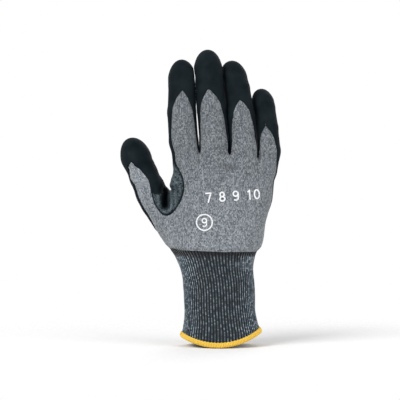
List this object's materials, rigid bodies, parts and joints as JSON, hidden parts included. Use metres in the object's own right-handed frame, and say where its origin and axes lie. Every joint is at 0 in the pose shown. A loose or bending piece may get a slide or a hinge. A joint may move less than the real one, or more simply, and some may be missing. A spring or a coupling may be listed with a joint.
{
  "type": "cut resistant glove",
  "caption": "Right-hand knitted work glove with dipped palm and fingertips, a ribbed cuff and an overlocked hem; bends at the wrist and at each finger joint.",
  "frame": {"origin": "middle of the opening at the hem that the hand goes into", "axes": "+Z from the hem to the fingertips, +X from the thumb's side to the little finger's side, -Y out of the back of the hand, +Y out of the palm"},
  "size_m": [0.1341, 0.0593, 0.257],
  "materials": {
    "liner_knit": "heather grey seamless knit",
    "nitrile_coat": "matt foamed dip",
    "second_dip": "smoother second dip, slight sheen",
    "rib_knit": "charcoal rib knit",
    "overlock_thread": "yellow overlock thread",
    "print_film": "white heat transfer film"
  },
  "bodies": {
    "cuff": {"hem": "overlock_thread", "cuff_rib": "rib_knit", "wrist_rib": "rib_knit"},
    "hand": {"seam_rib": "rib_knit", "hand_knit": "liner_knit", "palm_coat": "nitrile_coat", "crotch_patch": "second_dip", "size_row": "print_film", "size_ring": "print_film", "index_proximal_bend": "liner_knit", "middle_proximal_bend": "liner_knit", "ring_proximal_bend": "liner_knit", "little_proximal_bend": "liner_knit", "thumb_proximal_bend": "liner_knit"},
    "index_proximal": {"index_proximal_knit": "liner_knit", "index_proximal_coat": "nitrile_coat", "index_middle_bend": "liner_knit"},
    "index_middle": {"index_middle_knit": "liner_knit", "index_middle_coat": "nitrile_coat", "index_tip_bend": "liner_knit"},
    "index_tip": {"index_tip_knit": "liner_knit", "index_tip_coat": "nitrile_coat"},
    "middle_proximal": {"middle_proximal_knit": "liner_knit", "middle_proximal_coat": "nitrile_coat", "middle_middle_bend": "liner_knit"},
    "middle_middle": {"middle_middle_knit": "liner_knit", "middle_middle_coat": "nitrile_coat", "middle_tip_bend": "liner_knit"},
    "middle_tip": {"middle_tip_knit": "liner_knit", "middle_tip_coat": "nitrile_coat"},
    "ring_proximal": {"ring_proximal_knit": "liner_knit", "ring_proximal_coat": "nitrile_coat", "ring_middle_bend": "liner_knit"},
    "ring_middle": {"ring_middle_knit": "liner_knit", "ring_middle_coat": "nitrile_coat", "ring_tip_bend": "liner_knit"},
    "ring_tip": {"ring_tip_knit": "liner_knit", "ring_tip_coat": "nitrile_coat"},
    "little_proximal": {"little_proximal_knit": "liner_knit", "little_proximal_coat": "nitrile_coat", "little_middle_bend": "liner_knit"},
    "little_middle": {"little_middle_knit": "liner_knit", "little_middle_coat": "nitrile_coat", "little_tip_bend": "liner_knit"},
    "little_tip": {"little_tip_knit": "liner_knit", "little_tip_coat": "nitrile_coat"},
    "thumb_proximal": {"thumb_proximal_knit": "liner_knit", "thumb_proximal_coat": "nitrile_coat", "thumb_tip_bend": "liner_knit"},
    "thumb_tip": {"thumb_tip_knit": "liner_knit", "thumb_tip_coat": "nitrile_coat"}
  },
  "joints": [
    {"name": "wrist_hinge", "type": "hinge", "parent": "cuff", "child": "hand", "pos_m": [-0.00421, 0, 0.05616], "axis": [-1, 0, 0], "range_deg": [-50, 50], "stiffness_Nm_per_rad": 0.5, "deforming": ["wrist_rib"]},
    {"name": "index_proximal_hinge", "type": "hinge", "parent": "hand", "child": "index_proximal", "pos_m": [-0.0315, 0.00683, 0.16879], "axis": [-0.9993, 0, -0.0382], "range_deg": [-5, 70], "stiffness_Nm_per_rad": 0.04, "deforming": ["index_proximal_bend"]},
    {"name": "index_middle_hinge", "type": "hinge", "parent": "index_proximal", "child": "index_middle", "pos_m": [-0.0324, 0.00819, 0.1924], "axis": [-0.9993, 0, -0.0382], "range_deg": [-8, 75], "stiffness_Nm_per_rad": 0.03, "deforming": ["index_middle_bend"]},
    {"name": "index_tip_hinge", "type": "hinge", "parent": "index_middle", "child": "index_tip", "pos_m": [-0.03333, 0.01304, 0.21665], "axis": [-0.9993, 0, -0.0382], "range_deg": [-5.5, 49], "stiffness_Nm_per_rad": 0.02, "deforming": ["index_tip_bend"]},
    {"name": "middle_proximal_hinge", "type": "hinge", "parent": "hand", "child": "middle_proximal", "pos_m": [-0.00589, 0.00559, 0.16874], "axis": [-0.9979, 0, -0.0642], "range_deg": [-5, 70], "stiffness_Nm_per_rad": 0.04, "deforming": ["middle_proximal_bend"]},
    {"name": "middle_middle_hinge", "type": "hinge", "parent": "middle_proximal", "child": "middle_middle", "pos_m": [-0.00758, 0.0077, 0.19496], "axis": [-0.9979, 0, -0.0642], "range_deg": [-8, 75], "stiffness_Nm_per_rad": 0.03, "deforming": ["middle_middle_bend"]},
    {"name": "middle_tip_hinge", "type": "hinge", "parent": "middle_middle", "child": "middle_tip", "pos_m": [-0.0093, 0.0142, 0.2217], "axis": [-0.9979, 0, -0.0642], "range_deg": [-5.5, 49], "stiffness_Nm_per_rad": 0.02, "deforming": ["middle_tip_bend"]},
    {"name": "ring_proximal_hinge", "type": "hinge", "parent": "hand", "child": "ring_proximal", "pos_m": [0.01869, 0.00613, 0.16352], "axis": [-0.9955, 0, -0.0946], "range_deg": [-5, 70], "stiffness_Nm_per_rad": 0.04, "deforming": ["ring_proximal_bend"]},
    {"name": "ring_middle_hinge", "type": "hinge", "parent": "ring_proximal", "child": "ring_middle", "pos_m": [0.01635, 0.00943, 0.18818], "axis": [-0.9955, 0, -0.0946], "range_deg": [-8, 75], "stiffness_Nm_per_rad": 0.03, "deforming": ["ring_middle_bend"]},
    {"name": "ring_tip_hinge", "type": "hinge", "parent": "ring_middle", "child": "ring_tip", "pos_m": [0.01403, 0.0187, 0.21263], "axis": [-0.9955, 0, -0.0946], "range_deg": [-5.5, 49], "stiffness_Nm_per_rad": 0.02, "deforming": ["ring_tip_bend"]},
    {"name": "little_proximal_hinge", "type": "hinge", "parent": "hand", "child": "little_proximal", "pos_m": [0.04046, 0.00833, 0.15954], "axis": [-0.9948, 0, -0.1018], "range_deg": [-5, 70], "stiffness_Nm_per_rad": 0.04, "deforming": ["little_proximal_bend"]},
    {"name": "little_middle_hinge", "type": "hinge", "parent": "little_proximal", "child": "little_middle", "pos_m": [0.03858, 0.01179, 0.17798], "axis": [-0.9948, 0, -0.1018], "range_deg": [-8, 75], "stiffness_Nm_per_rad": 0.03, "deforming": ["little_middle_bend"]},
    {"name": "little_tip_hinge", "type": "hinge", "parent": "little_middle", "child": "little_tip", "pos_m": [0.03675, 0.02039, 0.19578], "axis": [-0.9948, 0, -0.1018], "range_deg": [-5.5, 49], "stiffness_Nm_per_rad": 0.02, "deforming": ["little_tip_bend"]},
    {"name": "thumb_proximal_hinge", "type": "hinge", "parent": "hand", "child": "thumb_proximal", "pos_m": [-0.05788, 0.01606, 0.13151], "axis": [-0.804, 0.4185, -0.4224], "range_deg": [-8, 28], "stiffness_Nm_per_rad": 0.05, "deforming": ["thumb_proximal_bend"]},
    {"name": "thumb_tip_hinge", "type": "hinge", "parent": "thumb_proximal", "child": "thumb_tip", "pos_m": [-0.06427, 0.02016, 0.14773], "axis": [-0.804, 0.4185, -0.4224], "range_deg": [-10, 46], "stiffness_Nm_per_rad": 0.03, "deforming": ["thumb_tip_bend"]}
  ],
  "couplings": [
    {"joint": "index_tip_hinge", "follows": "index_middle_hinge", "ratio": 0.65},
    {"joint": "middle_tip_hinge", "follows": "middle_middle_hinge", "ratio": 0.65},
    {"joint": "ring_tip_hinge", "follows": "ring_middle_hinge", "ratio": 0.65},
    {"joint": "little_tip_hinge", "follows": "little_middle_hinge", "ratio": 0.65}
  ]
}
